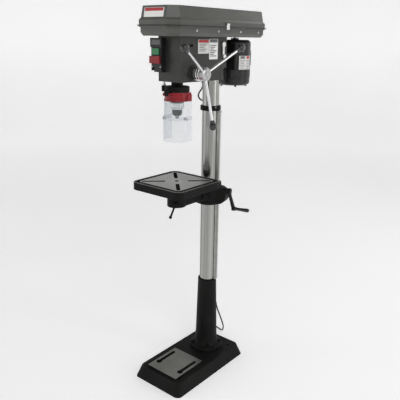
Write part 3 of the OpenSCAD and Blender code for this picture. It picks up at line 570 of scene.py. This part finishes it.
def add_junction_box():
    """Rounded box on the back of the motor, with a lid and two screws."""
    y = motor_axis.y + motor_r - .004
    at = placed((0, y, BOX_Z), RIGHT, BACK)
    bm = bmesh.new()
    rings = []
    for inset, z in ((0, 0), (0, .018), (.0006, .0186), (.0006, .0194), (0, .02), (0, .0225),
                     (.0015, .024), (.004, .0245)):
        rings.append([(a, b, z) for a, b in outline(.056 - 2 * inset, .07 - 2 * inset, .006)])
    extrude_rings(bm, rings)
    add_piece("junction_box", bm, "motor", "motor", where=at)
    for k, dz in enumerate((-.027, .027)):
        add_screw(f"junction_screw{k}", (0, y + .0244, BOX_Z + dz), BACK, .0032, "motor")


add_junction_box()

# Cover: screws through the pan's side walls, and a bead along the seam
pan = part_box("cover_pan")
SCREW_Z = 1.541
SEAM_Z = pan[1][2]
for side, letter in ((-1, "l"), (1, "r")):
    x = side * ((pan[1][0]) - .006)
    for k, dy in enumerate((-.223, -.09, .06, .19)):
        add_screw(f"pan_screw_{letter}{k}", (x, COL.y + dy, SCREW_Z), (side, 0, 0), .005, "frame")


def add_seam_bead():
    """Rubber edging along the lid's box, with its cut corners, broken at the latch and the hinges."""
    x, (y0, y1) = lid[1][0], (lid[0][1], lid[1][1])
    cut = .04
    corners = [(-x + cut, y0), (x - cut, y0), (x, y0 + cut), (x, y1 - cut), (x - cut, y1), (-x + cut, y1),
               (-x, y1 - cut), (-x, y0 + cut)]
    gaps = [(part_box("lid_latch"), .002), (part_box("hinge_pins"), .012)]
    dots = []
    for a, b in zip(corners, corners[1:] + corners[:1]):
        parts = max(1, round(math.dist(a, b) / .004))
        for i in range(parts):
            t = i / parts
            dots.append((Vector((*a, 0)).lerp(Vector((*b, 0)), t), (b[1] - a[1], a[0] - b[0])))
    runs, run = [], []
    for point, (nx, ny) in dots:
        if any(lo[0] - g < point.x < hi[0] + g and lo[1] - g < point.y < hi[1] + g
               for (lo, hi), g in gaps):
            runs.append(run)
            run = []
        else:
            size = math.hypot(nx, ny)
            run.append((point, Vector((nx / size, ny / size, 0))))
    runs.append(run)
    section = [(-.0006, -.0032), (.0014, -.0032), (.0024, -.0024), (.0026, -.0016), (.0024, -.0008),
               (.0014, -.0002), (-.0006, -.0002)]
    for k, run in enumerate(r for r in runs if len(r) > 2):
        bm = bmesh.new()
        extrude_rings(bm, [[p + out * d + Vector((0, 0, SEAM_Z + h)) for d, h in section]
                           for p, out in run])
        add_piece(f"seam_bead{k}", bm, "rubber", "frame")


add_seam_bead()

# Switch box: a raised bezel round the start button, two screws and a blank plate
box_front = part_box("switch_box")[0][1]
start = mid("start_button")
SWITCH_SCREW_Z, SWITCH_LABEL_Z = 1.392 + .012, 1.497


def add_bezel(name, centre, w, h, band):
    """A flat frame standing 1.5 mm off the switch box."""
    bm = bmesh.new()
    rows = []
    for grow, z in ((0, 0), (0, .0015), (band - .0004, .0015), (band, .0011), (band, 0)):
        ring = outline(w + 2 * grow, h + 2 * grow, .002 + grow)
        rows.append([bm.verts.new((x, y, z)) for x, y in ring])
    n = len(rows[0])
    for a, b in zip(rows, rows[1:] + rows[:1]):
        for i in range(n):
            bm.faces.new((a[i], b[i], b[(i + 1) % n], a[(i + 1) % n]))
    add_piece(name, bm, "plastic", "frame", where=placed(centre, RIGHT, FRONT))


add_bezel("start_bezel", (start.x, box_front + .002, start.z), .0372, .0252, .003)
for k, dx in enumerate((-.022, .022)):
    add_screw(f"switch_screw{k}", (start.x + dx, box_front + .002, SWITCH_SCREW_Z), FRONT, .003, "frame")
add_label("switch_label", (start.x, box_front, SWITCH_LABEL_Z), RIGHT, FRONT, .044, .018, "print_grey",
          "frame")

# Depth scale: 36 marks round the stop ring, every third one long
ring_low, ring_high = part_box("depth_stop_ring")
ring_r = (ring_high[2] - ring_low[2]) / 2
feed = Vector((0, (ring_low[1] + ring_high[1]) / 2, (ring_low[2] + ring_high[2]) / 2))
for k in range(36):
    a = math.radians(10 * k)
    long = .009 if k % 3 == 0 else .005
    out = Vector((0, math.cos(a), math.sin(a)))
    at = feed + out * (ring_r - .0001) + Vector((ring_low[0] + .003 + long / 2, 0, 0))
    add_piece(f"scale_mark{k}", plate_mesh(long, .0007, .0003, .0003, .0001), "print_grey", "stop_ring",
              where=placed(at, RIGHT, out))


# Belts: V section with a raised cord layer, in place of the CAD's plain loops

def belt_path(y1, y2, r1, r2, steps=40):
    """The loop round two pulleys at y1 and y2: each point's x, y and outward direction."""
    tilt = math.asin((r1 - r2) / (y2 - y1))
    pts = []
    for y, r, a, sweep in ((y1, r1, math.pi - tilt, math.pi + 2 * tilt),
                           (y2, r2, tilt, math.pi - 2 * tilt)):
        for k in range(steps + 1):
            b = a + sweep * k / steps
            pts.append((r * math.cos(b), y + r * math.sin(b), math.cos(b), math.sin(b)))
    full = []
    for (x, y, nx, ny), (x2, y2_, nx2, ny2) in zip(pts, pts[1:] + pts[:1]):
        gap = math.hypot(x2 - x, y2_ - y)
        parts = max(1, round(gap / .008))
        for k in range(parts):
            t = k / parts
            full.append((x + (x2 - x) * t, y + (y2_ - y) * t,
                         nx + (nx2 - nx) * t, ny + (ny2 - ny) * t))
    return full


# Outward distance and height of the belt's section
BELT_SECTION = [(-.0068, -.0018), (-.0068, .0018), (-.0012, .0034), (-.0006, .0036), (0, .0034),
                (0, -.0034), (-.0006, -.0036), (-.0012, -.0034)]


def add_belt(name, node, y1, y2, r1, r2, spans):
    """A V belt round two pulleys in two halves. A span is the half's two bodies and where it bends in y;
    where it bends is not used.
    """
    low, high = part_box(node)
    z = (low[2] + high[2]) / 2
    path = belt_path(y1, y2, r1, r2)
    middle = (y1 + y2) / 2
    out = next(i for i, p in enumerate(path) if p[1] > middle)
    back = next(i for i, p in enumerate(path) if i > out and p[1] < middle)
    halves = (path[back:] + path[:out + 1], path[out:back + 1])
    for half, run, (body, other, start, end) in zip("ab", halves, spans):
        bm = bmesh.new()
        extrude_rings(bm, [[(x + nx * d, y + ny * d, z + h) for d, h in BELT_SECTION]
                           for x, y, nx, ny in run])
        obj = add_piece(f"{name}_{half}", bm, "rubber", None if other else body)
        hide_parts(node)
        if other:
            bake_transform(obj)


spindle_y, idler_y, motor_y = mid("spindle").y, mid("idler_pulley").y, mid("motor_pulley").y
front_y, rear_y = (spindle_y + idler_y) / 2, (idler_y + motor_y) / 2
add_belt("belt_front", "front_belt", spindle_y, idler_y, .0494, .0394,
         (("frame", None, 0, 0), ("frame", "idler_arm", front_y + .01, idler_y - .012)))
add_belt("belt_rear", "rear_belt", idler_y, motor_y, .0594, .0294,
         (("idler_arm", "frame", idler_y + .012, rear_y - .01),
          ("frame", "motor", rear_y + .01, motor_y - .012)))


# ---------------------------------------------------------------- floor and light

FLOOR_R, ROLL_R, WALL_Z = 6, 1.5, 3.6
FLOOR_GLOW = .33


def add_stage():
    """A pale round floor that rolls up into a low wall all the way round."""
    bm = bmesh.new()
    path = [(.02, 0), (FLOOR_R / 2, 0), (FLOOR_R, 0)]
    path += [(FLOOR_R + ROLL_R * math.sin(math.radians(a)), ROLL_R - ROLL_R * math.cos(math.radians(a)))
             for a in range(10, 91, 10)]
    path += [(FLOOR_R + ROLL_R, WALL_Z)]
    steps = 96
    turns = [2 * math.pi * k / steps for k in range(steps)]
    rows = [[bm.verts.new((r * math.cos(a), r * math.sin(a), z)) for a in turns] for r, z in path]
    bm.faces.new(rows[0])
    for a, b in zip(rows, rows[1:]):
        for k in range(steps):
            n = (k + 1) % steps
            bm.faces.new((a[k], a[n], b[n], b[k]))
    mesh = bpy.data.meshes.new("floor")
    bm.to_mesh(mesh)
    bm.free()
    for face in mesh.polygons:
        face.use_smooth = True
    floor = bpy.data.objects.new("floor", mesh)
    mat = bpy.data.materials.new("floor")
    mat.use_nodes = True
    tree = mat.node_tree
    shade = tree.nodes["Principled BSDF"]
    tone = ramp(tree, grain_of(tree, .8, (1, 1, 1), 3), .3, .7, (.86, .86, .86), (.9, .9, .9))
    tree.links.new(tone, shade.inputs["Base Color"])
    shade.inputs["Roughness"].default_value = .7
    shade.inputs["Emission Color"].default_value = (1, 1, 1, 1)
    shade.inputs["Emission Strength"].default_value = FLOOR_GLOW
    mesh.materials.append(mat)
    scene.collection.objects.link(floor)


def add_light(name, place, target, size, power):
    """A white area light of size metres and power watts, at place and turned to target."""
    data = bpy.data.lights.new(name, "AREA")
    data.shape = "RECTANGLE"
    data.size, data.size_y = size
    data.energy = power
    obj = bpy.data.objects.new(name, data)
    obj.location = place
    obj.rotation_euler = (Vector(target) - Vector(place)).to_track_quat("-Z", "Y").to_euler()
    scene.collection.objects.link(obj)


add_stage()
add_light("key", (2.4, -1.6, 3.2), (0, 0, .9), (1.8, 1.8), 30)
add_light("side", (3.2, .9, 1.8), (0, 0, .9), (.5, 2.6), 12)
add_light("back", (.6, 2.9, 2.8), (0, 0, 1.0), (2.4, 1.6), 14)
add_light("left", (-2.6, -2.2, 1.9), (0, 0, .8), (.5, 2.6), 7)


PANELS, PANEL_PHASE = 5.0, .6
SKY_STRENGTH = .5


def add_world():
    """A studio of grey walls with tall soft panels all round and a pale ceiling."""
    world = bpy.data.worlds.new("world")
    world.use_nodes = True
    tree = world.node_tree
    way = add_node(tree, "ShaderNodeSeparateXYZ",
                   {"Vector": add_node(tree, "ShaderNodeTexCoord").outputs["Generated"]})
    turn = add_node(tree, "ShaderNodeMath", {0: way.outputs["Y"], 1: way.outputs["X"]},
                    operation="ARCTAN2")
    wave = add_node(tree, "ShaderNodeMath", {0: turn.outputs[0], 1: PANELS, 2: PANEL_PHASE},
                    operation="MULTIPLY_ADD")
    panel = add_node(tree, "ShaderNodeMath", {0: wave.outputs[0]}, operation="SINE")
    wall = add_node(tree, "ShaderNodeMapRange", {"Value": panel.outputs[0], "From Min": -1,
                                                 "From Max": 1, "To Min": .1, "To Max": 1})
    ceiling = add_node(tree, "ShaderNodeMapRange", {"Value": way.outputs["Z"], "From Min": .35,
                                                    "From Max": .6})
    sky = mix(tree, ceiling.outputs[0], wall.outputs[0], (.62, .62, .62, 1))
    tree.links.new(sky, tree.nodes["Background"].inputs["Color"])
    tree.nodes["Background"].inputs["Strength"].default_value = SKY_STRENGTH
    scene.world = world


add_world()
scene.view_settings.view_transform = "Standard"
